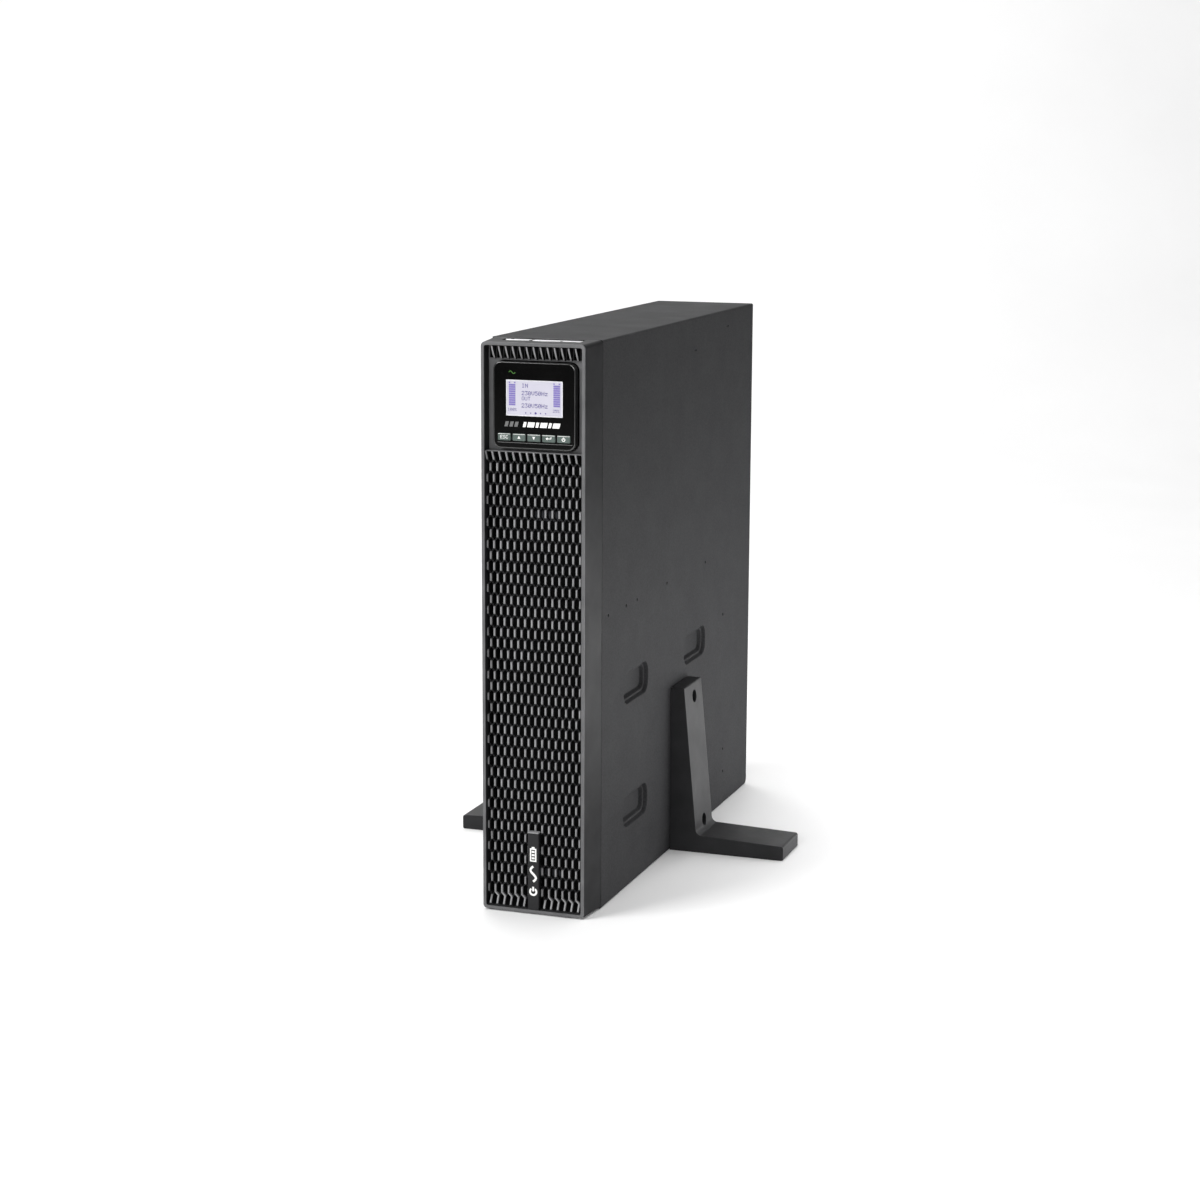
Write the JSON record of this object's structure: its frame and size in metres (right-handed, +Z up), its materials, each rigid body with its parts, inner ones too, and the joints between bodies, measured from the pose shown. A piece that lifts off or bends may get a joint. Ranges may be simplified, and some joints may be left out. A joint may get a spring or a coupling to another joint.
{
  "type": "uninterruptible power supply",
  "caption": "Upright black rack or tower power supply with a honeycomb front grille, a square glossy display head with keys, side stand feet, and outlets, an inlet and a fan at the rear.",
  "frame": {"origin": "on the floor under the middle of the whole object", "axes": "+X to the right seen from the front, +Y to the rear, +Z up; the front faces -Y"},
  "size_m": [0.284, 0.434, 0.438],
  "materials": {
    "steel_cover": "fine textured black powder coat",
    "zinc_steel": "dull zinc plating",
    "foot_plastic": "fine grained matt",
    "satin_metal": "satin plating",
    "black_steel": "black oxide",
    "bezel_plastic": "fine grained satin",
    "gloss_black": "polished",
    "screen": "clear window over a lit screen",
    "key_plastic": "smooth satin",
    "battery_case": "moulded",
    "board_green": "solder mask",
    "aluminium": "extruded",
    "capacitor_sleeve": "shrunk sleeve",
    "copper_winding": "enamelled wire",
    "fan_plastic": "moulded",
    "socket_plastic": "moulded",
    "connector_green": "moulded",
    "breaker_button": "moulded",
    "cable_red": "soft jacket",
    "brass": "turned"
  },
  "bodies": {
    "chassis": {"side_cover": "steel_cover", "base_tray": "steel_cover", "front_panel": "steel_cover", "battery_door": "steel_cover", "rear_panel": "steel_cover", "slot_cover": "steel_cover", "bay_wall": "zinc_steel", "battery_tray": "zinc_steel", "foot_left": "foot_plastic", "foot_right": "foot_plastic", "foot_screw_left_lower": "black_steel", "foot_screw_left_upper": "black_steel", "foot_screw_right_lower": "black_steel", "foot_screw_right_upper": "black_steel", "fan_guard": "satin_metal", "usb_port": "satin_metal", "serial_port": "satin_metal", "battery_1": "battery_case", "battery_2": "battery_case", "battery_3": "battery_case", "transformer": "battery_case", "power_board": "board_green", "control_board": "board_green", "heatsink_1": "aluminium", "heatsink_2": "aluminium", "bulk_capacitor_1": "capacitor_sleeve", "bulk_capacitor_2": "capacitor_sleeve", "bulk_capacitor_3": "capacitor_sleeve", "bulk_capacitor_4": "capacitor_sleeve", "inductor_1": "copper_winding", "inductor_2": "copper_winding", "fan_frame": "fan_plastic", "outlet_bank_1": "socket_plastic", "outlet_bank_2": "socket_plastic", "power_inlet": "socket_plastic", "battery_pack_port": "socket_plastic", "breaker_body": "socket_plastic", "battery_connector": "socket_plastic", "relay_1": "socket_plastic", "relay_2": "socket_plastic", "contact_block": "connector_green", "battery_lead": "cable_red", "ground_stud": "brass"},
    "bezel": {"bezel_frame": "bezel_plastic", "bezel_grille": "bezel_plastic", "badge_bar": "bezel_plastic", "latch_guide": "satin_metal"},
    "display": {"display_head": "gloss_black", "display_lens": "screen", "lcd_panel": "zinc_steel", "display_board": "board_green", "display_back": "bezel_plastic"},
    "escape_key": {"key_escape": "key_plastic"},
    "up_key": {"key_up": "key_plastic"},
    "down_key": {"key_down": "key_plastic"},
    "enter_key": {"key_enter": "key_plastic"},
    "power_key": {"key_power": "key_plastic"},
    "latch": {"latch_button": "satin_metal"},
    "fan": {"fan_rotor": "fan_plastic"},
    "breaker": {"breaker_button": "breaker_button"}
  },
  "joints": [
    {"name": "bezel_pull", "type": "slide", "parent": "chassis", "child": "bezel", "axis": [0, -1, 0], "range_m": [0, 0.03]},
    {"name": "display_pull", "type": "slide", "parent": "bezel", "child": "display", "axis": [0, -1, 0], "range_m": [0, 0.025]},
    {"name": "escape_press", "type": "slide", "parent": "display", "child": "escape_key", "axis": [0, 1, 0], "range_m": [0, 0.0008], "stiffness_N_per_m": 600},
    {"name": "up_press", "type": "slide", "parent": "display", "child": "up_key", "axis": [0, 1, 0], "range_m": [0, 0.0008], "stiffness_N_per_m": 600},
    {"name": "down_press", "type": "slide", "parent": "display", "child": "down_key", "axis": [0, 1, 0], "range_m": [0, 0.0008], "stiffness_N_per_m": 600},
    {"name": "enter_press", "type": "slide", "parent": "display", "child": "enter_key", "axis": [0, 1, 0], "range_m": [0, 0.0008], "stiffness_N_per_m": 600},
    {"name": "power_press", "type": "slide", "parent": "display", "child": "power_key", "axis": [0, 1, 0], "range_m": [0, 0.0008], "stiffness_N_per_m": 600},
    {"name": "latch_press", "type": "slide", "parent": "bezel", "child": "latch", "axis": [0, 0, -1], "range_m": [0, 0.0025], "stiffness_N_per_m": 400},
    {"name": "fan_spin", "type": "hinge", "parent": "chassis", "child": "fan", "pos_m": [0, 0.1981, 0.388], "axis": [0, 1, 0], "continuous": true},
    {"name": "breaker_pop", "type": "slide", "parent": "chassis", "child": "breaker", "axis": [0, 1, 0], "range_m": [0, 0.003]}
  ]
}
